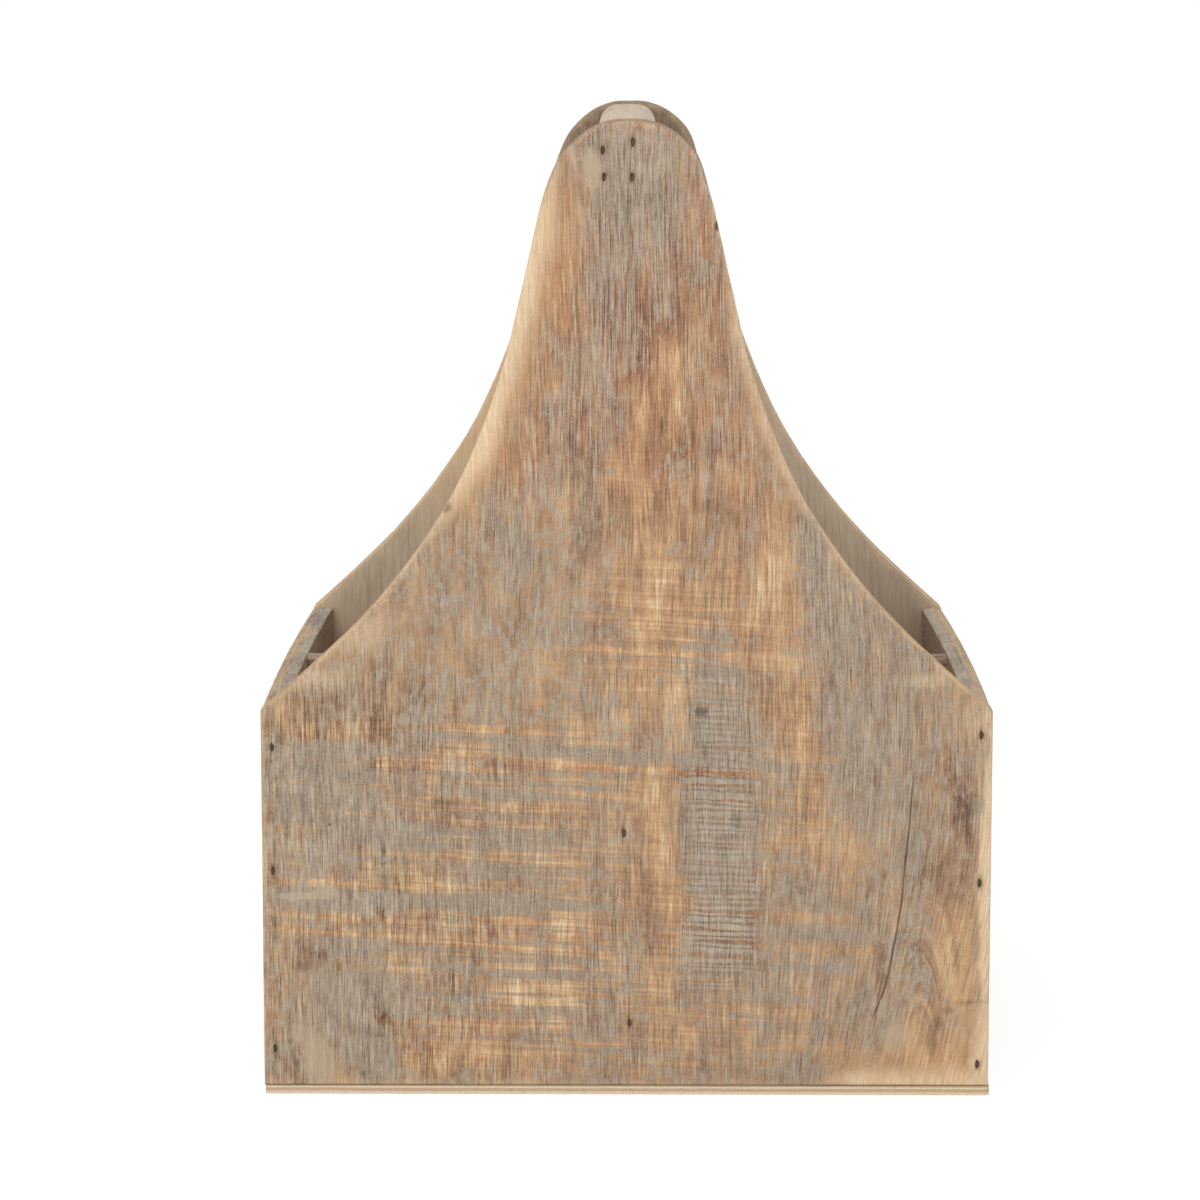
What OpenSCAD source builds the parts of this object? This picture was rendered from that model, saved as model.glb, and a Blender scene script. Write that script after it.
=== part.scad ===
// Wooden bottle carrier: two bottle-shaped end panels, two side boards, a thin base,
// two half-lapped dividers that make four bottle cells, and a handle bar, all nailed together.
// Up is +Z, the end panels face along Y, and the origin is at the middle of the underside.

/* [Carrier] */
// Width across the end panels
carrier_w = 240; // [200:1:280]
// Length over both end panels
carrier_l = 244; // [210:1:300]
// Height of the shoulders of the end panels
shoulder_h = 125; // [100:1:150]
// Height of the end panels, up to the top of the crown
panel_h = 318.5; // [290:0.5:350]

/* [End panels] */
// Thickness of the end panels
panel_t = 12; // [9:0.5:18]
// Radius of the crown
crown_r = 26; // [22:0.5:30]
// Radius of the bulging stretch of the neck under the crown
neck_r = 200; // [150:5:260]
// Slope in degrees where the crown runs into the neck
crown_slope = 70; // [64:1:74]
// Slope in degrees at the steepest place of the front panel's neck
front_neck_slope = 80.5; // [77:0.1:84]
// Slope in degrees at the steepest place of the rear panel's neck, with slightly fuller shoulders below it
rear_neck_slope = 79.6; // [77:0.1:84]
// Bevel of the sanded edges of the end panels
panel_arris = 1.2; // [0.4:0.1:2]

/* [Side boards] */
// Thickness of the side boards
side_t = 7.5; // [5:0.5:11]
// How far the side boards stand above the shoulders of the end panels
side_rise = 1; // [0:0.25:2]
// How far the side boards bow outward at mid-length
side_bow = 1.2; // [0.2:0.1:3]
// Rounding of the long edges of the side boards
side_arris = 0.8; // [0.4:0.1:2]

/* [Dividers] */
// Thickness of both dividers
divider_t = 7.5; // [5:0.5:11]
// Drop from the top of the side boards to the top of both dividers
divider_drop = 0.5; // [0:0.5:40]
// Rounding of the long edges of the dividers
divider_arris = 2; // [0.4:0.1:2.2]
// Clearance on each side of the slots where the dividers cross
lap_clearance = 0.15; // [0.05:0.05:0.4]

/* [Base] */
// Thickness of the base
base_t = 3; // [2:0.5:8]
// How far the base sticks out past the panels and the side boards
base_overhang = 0.5; // [0:0.1:2]
// Corner radius of the base
base_corner_r = 2; // [0.5:0.5:6]

/* [Handle] */
// Width of the handle bar
handle_w = 21; // [18:0.5:26]
// Height of the handle bar
handle_h = 26; // [20:0.5:32]
// Rounding of the long edges of the handle bar
handle_round = 7; // [3:0.5:8.5]
// Drop from the top of the crown to the top of the handle bar
handle_drop = 1; // [0.5:0.25:8]

/* [Nails] */
// Length of the nails through the panels and the side boards
nail_l = 32; // [26:1:40]
// Length of the nails up through the base
base_nail_l = 20; // [14:1:28]
// Side of the square shank
nail_shank = 1.4; // [1:0.1:1.8]
// Length of the oblong head
nail_head_l = 3.2; // [2.4:0.1:4]
// Width of the head
nail_head_w = 1.4; // [1:0.1:1.8]
// Thickness of the head
nail_head_t = 1; // [0.6:0.1:1.4]
// Depth of the nail heads below the face of the wood
nail_set = 0.6; // [0.2:0.1:1]
// Clearance of a nail in its hole
nail_clearance = 0.1; // [0.05:0.05:0.2]

/* [Hidden] */

half_w = carrier_w / 2;
half_l = carrier_l / 2;
inner_l = carrier_l - 2 * panel_t;
inner_w = carrier_w - 2 * side_t;
side_mid = half_w - side_t / 2;
side_h = shoulder_h + side_rise;
divider_h = side_h - divider_drop;
panel_mid = half_l - panel_t / 2;
handle_top = panel_h - handle_drop;
lap_w = divider_t + 2 * lap_clearance;
// The outer face of the right side board is part of a cylinder of this radius, with its middle at bow_x
bow_r = (inner_l * inner_l / 4 + side_bow * side_bow) / (2 * side_bow);
bow_x = half_w + side_bow - bow_r;
// The cross divider ends where its faces meet the hollow inner faces of the side boards
cross_l = 2 * (bow_x + sqrt(pow(bow_r - side_t, 2) - divider_t * divider_t / 4));
// How far cuts run past the wood
overrun = 1;

// Nail places on an end panel, as shares of the height of its shoulders
left_nail_shares = [0.1, 0.58, 0.91];
right_nail_shares = [0.06, 0.55, 0.945];
// Nail places on the end of the handle, as shares of its width and of its height down from its top
handle_nail_shares = [[-0.37, 0.34], [0.09, 0.24], [-0.35, 0.67], [0.08, 0.67]];
// Nail places on the end of a divider, as shares of its thickness and of its height
divider_nail_shares = [[-0.1, 0.68], [0.15, 0.17]];
// Nail places in the base, as shares of half the inner width or of half the inner length
base_end_shares = [-0.88, -0.3, 0.3, 0.88];
base_side_shares = [-0.5, 0.5];

// The neck leaves the crown at crown_slope
crown_centre = [0, panel_h - crown_r];
crown_end = crown_centre + crown_r * outward(crown_slope);
neck_centre = crown_centre - (neck_r - crown_r) * outward(crown_slope);
shoulder = [half_w, shoulder_h];
// How far cuts along an arc run past the wood, in degrees
overrun_turn = 1;
corner_steps = 8;
$fn = 180;
// Facets of a full turn at the radius of the bow
bow_fn = 2400;

// Direction out of the right edge of the panel where it slopes down at this many degrees
function outward(slope) = [sin(slope), cos(slope)];

// Where the neck ends and the hollow of the shoulder starts, at the neck's steepest slope
function neck_end(neck_slope) = neck_centre + neck_r * outward(neck_slope);

// Radius of the hollow that leaves the neck at its steepest slope and runs to the shoulder
function hollow_r(neck_slope) =
    let (to_shoulder = shoulder - neck_end(neck_slope))
    to_shoulder * to_shoulder / (2 * to_shoulder * outward(neck_slope));

function hollow_centre(neck_slope) = neck_end(neck_slope) + hollow_r(neck_slope) * outward(neck_slope);

// Slope of the hollow at the shoulder
function shoulder_slope(neck_slope) = asin((hollow_centre(neck_slope)[0] - half_w) / hollow_r(neck_slope));

// The same point on the left
function mirrored(p) = [-p[0], p[1]];

// Points of a rectangle with its middle at the origin and rounded corners
function rounded_rectangle(w, h, r) = [
    for (corner = [0 : 3], i = [0 : corner_steps])
        let (a = 90 * (corner + i / corner_steps))
        let (sx = (corner == 0 || corner == 3) ? 1 : -1)
        let (sy = corner < 2 ? 1 : -1)
        [sx * (w / 2 - r) + r * cos(a), sy * (h / 2 - r) + r * sin(a)]
];

// The children and their mirror image on the left
module both_sides() {
    children();
    mirror([1, 0, 0]) children();
}

// The slice of a disc between the first and the last of these slopes
module fan(centre, radius, slopes) {
    reach = 2 * radius;
    intersection() {
        translate(centre) circle(radius);
        polygon(concat([centre], [for (slope = slopes) centre + reach * outward(slope)]));
    }
}

// The right side of the neck, with its bulge
module neck_bulge(neck_slope) {
    intersection() {
        fan(neck_centre, neck_r, [crown_slope, neck_slope]);
        square([half_w, panel_h]);
    }
}

// What the hollow takes away beside the right side of the neck, above the shoulder
module hollow(neck_slope) {
    fan(
        hollow_centre(neck_slope), hollow_r(neck_slope),
        [180 + shoulder_slope(neck_slope) - overrun_turn, 180 + neck_slope]
    );
}

// Face of an end panel, with its foot on the X axis
module panel_face(neck_slope) {
    difference() {
        union() {
            polygon([
                [-half_w, 0], [half_w, 0], shoulder, neck_end(neck_slope), crown_end,
                mirrored(crown_end), mirrored(neck_end(neck_slope)), mirrored(shoulder)
            ]);
            both_sides() neck_bulge(neck_slope);
            fan(crown_centre, crown_r, [crown_slope, 0, -crown_slope]);
        }
        both_sides() hollow(neck_slope);
    }
}

// Section of the wood that sanding takes off an edge at the origin, where the wood is at -X and +Y
module arris_section() {
    leg = panel_arris + overrun;
    polygon([[-leg, -overrun], [overrun, -overrun], [overrun, leg]]);
}

// The wood taken off along a round stretch of edge, over this many degrees from a start angle
module round_arris(centre, radius, start, turn) {
    translate(centre)
        rotate(start)
            rotate_extrude(angle = turn)
                translate([radius, 0])
                    children();
}

// The wood taken off all along the edges of one face of an end panel
module panel_arrises(neck_slope) {
    hollow_turn = neck_slope - shoulder_slope(neck_slope) + overrun_turn;
    round_arris(crown_centre, crown_r, 90 - crown_slope, 2 * crown_slope) arris_section();
    both_sides() {
        round_arris(neck_centre, neck_r, 90 - neck_slope, neck_slope - crown_slope) arris_section();
        round_arris(hollow_centre(neck_slope), hollow_r(neck_slope), 270 - neck_slope, hollow_turn)
            mirror([1, 0]) arris_section();
        translate([half_w, shoulder_h, 0])
            rotate([90, 0, 0])
                linear_extrude(shoulder_h + overrun) arris_section();
    }
}

// A bottle-shaped panel lying on its face, with its foot on the X axis
module panel_blank(neck_slope) {
    difference() {
        linear_extrude(panel_t) panel_face(neck_slope);
        panel_arrises(neck_slope);
        translate([0, 0, panel_t]) mirror([0, 0, 1]) panel_arrises(neck_slope);
    }
}

// A board along Y, with its middle at the origin
module board_along_y(w, h, l, r) {
    rotate([90, 0, 0])
        linear_extrude(l, center = true)
            polygon(rounded_rectangle(w, h, r));
}

// One nail, or the hole for it where grow is its clearance. The wood's face is at z = 0 and the nail
// goes down into it, with the head below the face. The head is long along X.
module nail(length, grow = 0) {
    shank = nail_shank + 2 * grow;
    head_top = grow > 0 ? overrun : -nail_set;
    head_foot = -nail_set - nail_head_t - grow;
    translate([-nail_head_l / 2 - grow, -nail_head_w / 2 - grow, head_foot])
        cube([nail_head_l + 2 * grow, nail_head_w + 2 * grow, head_top - head_foot]);
    translate([-shank / 2, -shank / 2, -length - grow])
        cube([shank, shank, length + grow - nail_set]);
}

// Nails that go in through the face of the front panel at x, z
module nail_through_front(x, z, grow = 0) {
    translate([x, -half_l, base_t + z])
        rotate([90, 0, 0])
            rotate([0, 0, 90])
                nail(nail_l, grow);
}

module handle_nail_group(grow = 0) {
    for (share = handle_nail_shares)
        nail_through_front(share[0] * handle_w, handle_top - share[1] * handle_h, grow);
}

module side_nail_group(grow = 0) {
    for (share = left_nail_shares)
        nail_through_front(-side_mid, share * shoulder_h, grow);
    for (share = right_nail_shares)
        nail_through_front(side_mid, share * shoulder_h, grow);
}

module divider_nail_group(grow = 0) {
    for (share = divider_nail_shares)
        nail_through_front(share[0] * divider_t, share[1] * divider_h, grow);
}

// The rear end has the same nails as the front end, turned half a turn
module rear() {
    rotate([0, 0, 180]) children();
}

// Nails through the side boards into the ends of the cross divider
module cross_nail_group(grow = 0) {
    for (side = [-1, 1], share = divider_nail_shares)
        translate([side * (half_w + side_bow), 0, base_t + share[1] * divider_h])
            rotate([0, side * 90, 0])
                nail(nail_l, grow);
}

// Nails up through the base into the panels, the side boards and the long divider
module base_nail_group(grow = 0) {
    for (end = [-1, 1], share = base_end_shares)
        translate([share * inner_w / 2, end * panel_mid, 0])
            rotate([180, 0, 0])
                nail(base_nail_l, grow);
    for (x = [-side_mid, 0, side_mid], share = base_side_shares)
        translate([x, share * inner_l / 2, 0])
            rotate([180, 0, 0])
                rotate([0, 0, 90])
                    nail(base_nail_l, grow);
}

module end_panel(neck_slope) {
    difference() {
        translate([0, panel_t - half_l, base_t]) rotate([90, 0, 0]) panel_blank(neck_slope);
        handle_nail_group(nail_clearance);
        side_nail_group(nail_clearance);
        divider_nail_group(nail_clearance);
        base_nail_group(nail_clearance);
    }
}

module front_end_panel() {
    color("burlywood") end_panel(front_neck_slope);
}

module rear_end_panel() {
    color("burlywood") rear() end_panel(rear_neck_slope);
}

// The right side board without its nail holes, bowed outward between the end panels
module bowed_board() {
    bow_turn = 2 * (asin(inner_l / 2 / (bow_r - side_t)) + overrun_turn);
    intersection() {
        translate([bow_x, 0, base_t + side_h / 2])
            rotate(-bow_turn / 2)
                rotate_extrude(angle = bow_turn, $fn = bow_fn)
                    translate([bow_r - side_t / 2, 0])
                        polygon(rounded_rectangle(side_t, side_h, side_arris));
        translate([half_w - side_t - overrun, -inner_l / 2, 0])
            cube([side_t + side_bow + 2 * overrun, inner_l, base_t + side_h + overrun]);
    }
}

module side_board(side) {
    difference() {
        mirror([side < 0 ? 1 : 0, 0, 0]) bowed_board();
        side_nail_group(nail_clearance);
        rear() side_nail_group(nail_clearance);
        cross_nail_group(nail_clearance);
        base_nail_group(nail_clearance);
    }
}

module left_side_board() {
    color("tan") side_board(-1);
}

module right_side_board() {
    color("tan") side_board(1);
}

module base_board() {
    w = carrier_w + 2 * base_overhang;
    l = carrier_l + 2 * base_overhang;
    color("wheat")
        difference() {
            linear_extrude(base_t)
                polygon(rounded_rectangle(w, l, base_corner_r));
            base_nail_group(nail_clearance);
        }
}

// The long divider is slotted from the top, the cross divider from below
module long_divider() {
    color("peru")
        difference() {
            translate([0, 0, base_t + divider_h / 2])
                board_along_y(divider_t, divider_h, inner_l, divider_arris);
            translate([-divider_t / 2 - overrun, -lap_w / 2, base_t + divider_h / 2])
                cube([divider_t + 2 * overrun, lap_w, divider_h / 2 + overrun]);
            divider_nail_group(nail_clearance);
            rear() divider_nail_group(nail_clearance);
            base_nail_group(nail_clearance);
        }
}

module cross_divider() {
    color("peru")
        difference() {
            translate([0, 0, base_t + divider_h / 2])
                rotate([0, 0, 90])
                    board_along_y(divider_t, divider_h, cross_l, divider_arris);
            translate([-lap_w / 2, -divider_t / 2 - overrun, base_t - overrun])
                cube([lap_w, divider_t + 2 * overrun, divider_h / 2 + overrun]);
            cross_nail_group(nail_clearance);
        }
}

module handle_bar() {
    color("moccasin")
        difference() {
            translate([0, 0, base_t + handle_top - handle_h / 2])
                board_along_y(handle_w, handle_h, inner_l, handle_round);
            handle_nail_group(nail_clearance);
            rear() handle_nail_group(nail_clearance);
        }
}

module front_handle_nails() {
    color("dimgray") handle_nail_group();
}

module rear_handle_nails() {
    color("dimgray") rear() handle_nail_group();
}

module front_side_nails() {
    color("dimgray") side_nail_group();
}

module rear_side_nails() {
    color("dimgray") rear() side_nail_group();
}

module front_divider_nails() {
    color("dimgray") divider_nail_group();
}

module rear_divider_nails() {
    color("dimgray") rear() divider_nail_group();
}

module cross_divider_nails() {
    color("dimgray") cross_nail_group();
}

module base_nails() {
    color("dimgray") base_nail_group();
}

front_end_panel();
rear_end_panel();
left_side_board();
right_side_board();
base_board();
long_divider();
cross_divider();
handle_bar();
front_handle_nails();
rear_handle_nails();
front_side_nails();
rear_side_nails();
front_divider_nails();
rear_divider_nails();
cross_divider_nails();
base_nails();
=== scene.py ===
"""Looks of a wooden bottle carrier: bottle-shaped end boards, sides, a base, crossed dividers and a bar."""
import math
from collections import namedtuple

import bmesh
import bpy
import numpy as np
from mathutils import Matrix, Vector, geometry, noise


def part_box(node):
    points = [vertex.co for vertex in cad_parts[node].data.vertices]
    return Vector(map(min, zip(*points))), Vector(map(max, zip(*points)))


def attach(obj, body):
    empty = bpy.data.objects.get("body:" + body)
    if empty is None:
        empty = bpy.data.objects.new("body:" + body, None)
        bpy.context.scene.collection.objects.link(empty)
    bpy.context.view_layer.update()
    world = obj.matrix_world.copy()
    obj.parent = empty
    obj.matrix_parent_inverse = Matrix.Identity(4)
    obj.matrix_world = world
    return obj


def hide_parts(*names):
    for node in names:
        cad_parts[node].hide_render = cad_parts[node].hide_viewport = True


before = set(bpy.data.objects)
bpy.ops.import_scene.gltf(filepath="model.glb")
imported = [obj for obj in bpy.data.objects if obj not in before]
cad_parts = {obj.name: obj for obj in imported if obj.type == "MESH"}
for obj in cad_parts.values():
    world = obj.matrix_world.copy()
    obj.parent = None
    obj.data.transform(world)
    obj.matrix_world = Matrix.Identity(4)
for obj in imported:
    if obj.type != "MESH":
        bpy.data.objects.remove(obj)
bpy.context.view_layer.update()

MM = 0.001

# Camera: where the photograph was taken from, how far it looks down, and how far it is turned to the right
CAMERA_PLACE = (0.001476, -1.467824, 0.36132)
CAMERA_DOWN = math.radians(8.268)
CAMERA_TURN = -0.00754
CAMERA_LENS = 125.13
SENSOR = 36

# Light: an even white room, a soft lamp above the front, and a wide floor
ROOM_LIGHT = 0.72
LAMP_SIZE = 1.6
LAMP_PLACE = (-0.5, -1.5, 2.0)
LAMP_AIM = (0, 0, 0.15)
LAMP_POWER = 27
WHITE = (1, 1, 1, 1)
FLOOR_SIZE = 12
FLOOR_COLOUR = (0.9, 0.9, 0.9, 1)
# How strongly the floor glows, and how much of that the camera sees in place of the matte floor
GLOW_STRENGTH = 1.08
FLOOR_GLOW = 0.82

# Height of the shoulders, as a share of an end board's height
SHOULDER = 0.3953
# How far both crowns lean to the right, in millimetres, and the stretch of heights over which they do
CROWN_LEAN = 0.9
LEAN_HEIGHTS = (294, 312)
# Outline of the end boards, from the shoulder to the crown: share of the front one's half width, share of
# the height, and how much wider the rear one is there
BOTTLE_OUTLINE = (
    (0.863, 0.4398, 0.0075),
    (0.7125, 0.4948, 0.012),
    (0.5833, 0.5545, 0.0137),
    (0.4767, 0.6173, 0.0133),
    (0.3942, 0.6860, 0.0104),
    (0.3300, 0.7564, 0.0067),
    (0.2883, 0.8223, 0.004),
    (0.2525, 0.8810, 0.003),
    (0.2267, 0.9212, 0.004),
    (0.1870, 0.9620, 0.004),
    (0.1242, 0.9865, 0.004),
    (0.0592, 0.9981, 0.002),
    (0.0, 1.0, 0.0),
)
# The edges of an end board are most worn above this share of its height, and its outline is most ragged from
# this far above its foot to this far below its top
WORN_CROWN = 0.93
RAGGED_FROM = 130
RAGGED_TO = 40
# How much of the base is missing at its left end, its corner radius, and the radii of the bar's lower and
# upper edges, in millimetres
BASE_SHORT = 0.7
BASE_CORNER = 2
BAR_CORNERS = (2, 2, 7, 7)
# How deep the slots for the nail heads are, and how much room they leave across and along a head
SLOT_DEPTH = 1.5
SLOT_SPARE = (0.05, 0.15)

# Marks on the outer face of the front board: across from the middle, height above its foot, half width and
# half height in millimetres, and strength. The first ones are soft areas.
GREY_WASHES = (
    (2, 292, 16, 24, 1.0), (-6, 258, 8, 18, 0.5), (-22, 226, 5, 20, 0.4), (-32, 186, 11, 22, 0.8),
    (62, 175, 6, 22, 0.7), (72, 140, 9, 25, 0.8), (84, 112, 12, 22, 0.8), (90, 75, 10, 20, 0.5),
    (31, 125, 9, 15, 1.2), (31, 80, 12, 22, 1.1), (31, 40, 14, 12, 0.5), (-100, 80, 14, 45, 0.5),
    (-92, 30, 12, 20, 0.6), (-70, 62, 34, 5, 0.6), (2, 306, 20, 9, 0.6), (-103, 100, 12, 13, 0.4),
    (-84, 33, 9, 6, 0.5), (-84, 12, 9, 11, 0.8),
)
WARM_PATCHES = (
    (-33, 215, 8, 45, 0.5), (10, 222, 12, 22, 0.9), (8, 190, 14, 20, 0.9), (22, 250, 10, 30, 0.35),
    (-22, 268, 5, 26, 0.5), (30, 190, 14, 30, 0.5), (18, 163, 28, 14, 0.6), (46, 165, 8, 35, 0.7),
    (53, 130, 7, 25, 0.8), (60, 98, 6, 20, 0.7), (72, 75, 6, 16, 0.5), (10, 140, 11, 30, 0.5),
    (10, 95, 9, 20, 0.6), (10, 62, 10, 20, 0.7), (10, 20, 12, 20, 0.4), (-55, 110, 25, 5, 0.5),
    (-65, 90, 15, 10, 0.3), (108, 45, 9, 25, 0.6), (100, 15, 16, 12, 0.5), (-50, 12, 20, 8, 0.6),
    (-110, 125, 10, 8, 0.6), (-88, 120, 22, 3.5, 0.6), (-58, 9, 14, 9, 0.5), (111, 53, 5, 6, 0.5),
    (106, 10, 9, 8, 0.6),
)
BROWN_PATCHES = (
    (2, 265, 10, 25, 0.5), (-15, 200, 5, 26, 0.5), (30, 184, 14, 16, 0.4), (100, 80, 12, 25, 0.4),
    (-75, 130, 15, 20, 0.3), (-98, 50, 10, 12, 0.5), (108, 100, 6, 16, 0.5), (84, 44, 3, 18, 0.7),
    (112, 122, 5, 12, 0.4), (104, 60, 5, 14, 0.4), (112, 92, 4, 14, 0.5), (-104, 42, 9, 4, 0.6),
    (-86, 24, 6, 8, 0.4), (46, 50, 8, 20, 0.4), (-28, 92, 16, 5, 0.5),
)
# Narrow bands across the grain, grey or warm, that follow the slightly tilted saw marks
GREY_BANDS = (
    (-5, 111, 62, 2.2, 1.3), (-40, 96, 25, 1.8, 0.9), (-45, 59, 38, 2.0, 1.0), (-35, 37, 34, 1.8, 1.0),
    (55, 110, 20, 2.2, 1.0), (-50, 28, 40, 1.5, 0.8), (-60, 80, 30, 3.0, 0.9), (-85, 109, 25, 2.2, 0.9),
    (-77, 82, 20, 5.0, 0.7), (-100, 58, 18, 2.0, 0.9), (62, 54.5, 22, 2.2, 0.9), (62, 43, 22, 1.8, 0.8),
    (60, 33, 20, 2.5, 0.5),
)
WARM_BANDS = (
    (-45, 118, 26, 1.4, 1.3), (0, 106.5, 44, 1.4, 1.1), (-42, 54, 32, 1.1, 1.0),
    (-42, 49.5, 30, 1.1, 0.9), (-42, 45, 32, 1.1, 1.0), (-50, 19, 30, 1.2, 1.0), (14, 146, 38, 0.9, 1.4),
    (-90, 64, 30, 1.6, 0.9), (-92, 52.5, 28, 1.3, 0.8), (-95, 47.5, 24, 1.3, 0.9),
    (-78, 18, 12, 1.4, 0.9), (62, 60, 20, 1.6, 0.9), (62, 49.3, 20, 1.4, 0.8), (60, 27, 16, 1.3, 0.7),
    (58, 15.5, 16, 1.5, 0.8),
)
# Where the saw's marks across the grain were left: in patches, and as a close ripple in the hatched strip
SAWN_PATCHES = (
    (15, 152, 34, 24, 0.9), (-45, 104, 60, 22, 1.0), (-40, 60, 66, 30, 1.0), (-10, 20, 70, 20, 0.9),
    (52, 100, 18, 44, 0.6), (-104, 100, 14, 26, 0.5), (-4, 200, 20, 16, 0.4),
)
HATCHED_STRIPS = (
    (30, 128, 8, 14, 1.0), (31, 100, 12, 18, 1.1), (31, 68, 13, 24, 1.1), (30, 44, 14, 16, 0.9),
)
# Places on both end boards where the grain is smeared by sanding
WORKED_PLACES = ((-40, 155, 46, 30, 0.9),)
# Pale places where the edges were rubbed down to fresh wood
RUBBED_PLACES = (
    (114, 124, 4, 6, 0.45), (98, 136, 8, 2.5, 0.35), (118.5, 70, 2.4, 60, 0.9), (-103, 137, 10, 4, 0.5),
    (-86, 152, 8, 6, 0.4),
)
# Dull patches of filler
FILLED_PATCHES = (
    (-11.5, 302, 2.4, 7, 1.2), (-105, 64, 8, 1.3, 1.0), (-99, 65.5, 3, 2.2, 1.1), (-102, 9, 4.5, 9, 0.9),
    (-108, 18, 4, 5, 0.8), (17, 207, 3, 2.5, 0.6), (88, 18, 5, 6, 0.6),
)
# Two thin upright cracks in the front board, as points across and up
LONG_CRACK = ((94.9, 111), (93.2, 95), (92.5, 77), (91.6, 69), (89.6, 60), (88.2, 48), (86.3, 35),
              (83.3, 27), (78.3, 16))
MIDDLE_CRACK = ((47.5, 132), (48.2, 118), (49.5, 100), (48.4, 84), (48.8, 66))
# Each crack with its half width and its strength
CRACKS = ((LONG_CRACK, 0.7, 0.85), (MIDDLE_CRACK, 1.0, 0.3))
# Small knots, and the dark curve at the lower right
KNOTS = (
    (-59, 193, 2.2, 1.8, 0.6), (117, 28.8, 4.0, 1.0, 0.35), (111, 28.2, 4.0, 1.2, 0.4),
    (106.5, 25.8, 3.0, 1.6, 0.45), (103.5, 21.5, 2.2, 2.6, 0.45), (101, 15.5, 1.6, 4.5, 0.4),
    (-97.5, 88, 0.6, 0.7, 0.8), (29.2, 284.5, 1.2, 2.0, 0.8), (24, 126, 2.6, 2.0, 0.6),
    (20, 136, 1.4, 1.4, 0.3),
)
# Grain that arches: middle, height, half width and half height of the place, how steep the arches are, and
# how far below it they start
ARCHES = ((97, 42, 13, 22, 0.16, 56),)
# The grain of an end board bends at its right: the height where it is upright, how fast it bends away from
# there, and the stretch across over which the bend sets in
UPRIGHT_HEIGHT = 120
BEND = 0.0011
BEND_REACH = (35, 80)
# How much the saw marks drop for each step to the right, and how far apart the close ripples are
SAW_TILT = 0.045
RIPPLE = 2.1
# Out from the middle of an oval mark, in half sizes: where it is gone, and where it begins to fade
OVAL_FADE = (1.45, 0.4)
# The stain round a nail: half width, half height and strength
NAIL_STAIN = (1.5, 2.8, 0.55)

# The kinds of marks on an end board
KINDS = "greys warms browns grey_bands warm_bands sawn hatched rubbed filled cracks knots arches"
Marks = namedtuple("Marks", KINDS, defaults=[()] * len(KINDS.split()))


def turned(marks, height):
    """The same marks turned half a turn about the middle of this height."""
    return [(-across, height - up, wide, tall, strength) for across, up, wide, tall, strength in marks]


FRONT_MARKS = Marks(GREY_WASHES, WARM_PATCHES, BROWN_PATCHES, GREY_BANDS, WARM_BANDS, SAWN_PATCHES,
                    HATCHED_STRIPS, RUBBED_PLACES, FILLED_PATCHES, CRACKS, KNOTS, ARCHES)
# The rear board has some of the same ones
REAR_MARKS = Marks(greys=turned(GREY_WASHES[:12], 300), warms=WARM_PATCHES[8:], warm_bands=WARM_BANDS[1:5],
                   sawn=SAWN_PATCHES[:4])

# Colours of the wood as they look, from dark to light
TAN = ((98, 76, 62), (132, 106, 86), (160, 131, 105), (187, 153, 119), (209, 176, 134), (228, 202, 162))
RUSSET = ((94, 66, 51), (128, 93, 73), (163, 121, 92), (190, 147, 110), (213, 178, 136), (236, 212, 176))
GREY = ((104, 90, 79), (136, 122, 108), (161, 146, 129), (180, 166, 147), (196, 184, 165), (208, 198, 180))
SANDED = ((164, 140, 118), (190, 170, 149), (206, 190, 171), (220, 207, 191))
SIDE_TOP = ((118, 105, 92), (150, 138, 124), (172, 161, 147), (194, 182, 167))
# The dividers' dark old wood, darkened further as painted shade in the cells
DIVIDER_WOOD_AND_SHADE = ((90, 74, 61), (118, 98, 80), (144, 123, 103), (166, 147, 127), (188, 170, 150))
INNER_FACE = ((146, 127, 107), (193, 172, 147), (220, 199, 168))
# Dark mottles of painted shade on the inner face at the crown
MOTTLED_PAINTED_SHADE = ((70, 56, 46), (116, 97, 81), (164, 132, 102))
FILLER = ((172, 155, 130), (190, 172, 146), (204, 188, 164))
WARM_RIM = ((168, 118, 78), (204, 156, 108), (222, 182, 136))
SAPWOOD = ((180, 136, 94), (220, 184, 140), (246, 228, 200))
SANDED_SIDE = ((152, 118, 88), (202, 168, 130), (230, 204, 168))
GREYED_SIDE = ((122, 108, 94), (158, 145, 131))
RUBBED_TOP = ((150, 118, 86), (190, 160, 122), (214, 190, 154))
VENEER = ((172, 146, 112), (202, 179, 146), (218, 198, 168))
LIGHT_PLY = ((194, 170, 138), (224, 204, 174), (238, 222, 196))
DARK_PLY = ((150, 124, 96), (182, 156, 126), (204, 180, 150))
RUST = ((74, 57, 47), (102, 79, 63), (132, 102, 78))


def in_mm(node):
    """The lowest and highest corners of a CAD node."""
    low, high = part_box(node)
    return np.array(low) / MM, np.array(high) / MM


def solids_of(node):
    """The lowest and highest corners, in millimetres, of each separate solid in a CAD node."""
    shape = bmesh.new()
    shape.from_mesh(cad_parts[node].data)
    bmesh.ops.remove_doubles(shape, verts=shape.verts, dist=MM / 100)
    waiting = set(shape.verts)
    boxes = []
    while waiting:
        solid = [waiting.pop()]
        for vert in solid:
            linked = {edge.other_vert(vert) for edge in vert.link_edges} & waiting
            waiting -= linked
            solid.extend(linked)
        corners = np.array([vert.co for vert in solid]) / MM
        boxes.append((corners.min(0), corners.max(0)))
    shape.free()
    return sorted(boxes, key=lambda box: tuple(np.round(box[0], 2)))


def rough(point, size, seed=0):
    """Smooth noise from 0 to 1 at a point, with hills of the given size."""
    return 0.5 + 0.5 * noise.noise(Vector(point) / size + Vector((seed, 7.3 * seed, 0.37)))


# Outlines, in millimetres

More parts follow.
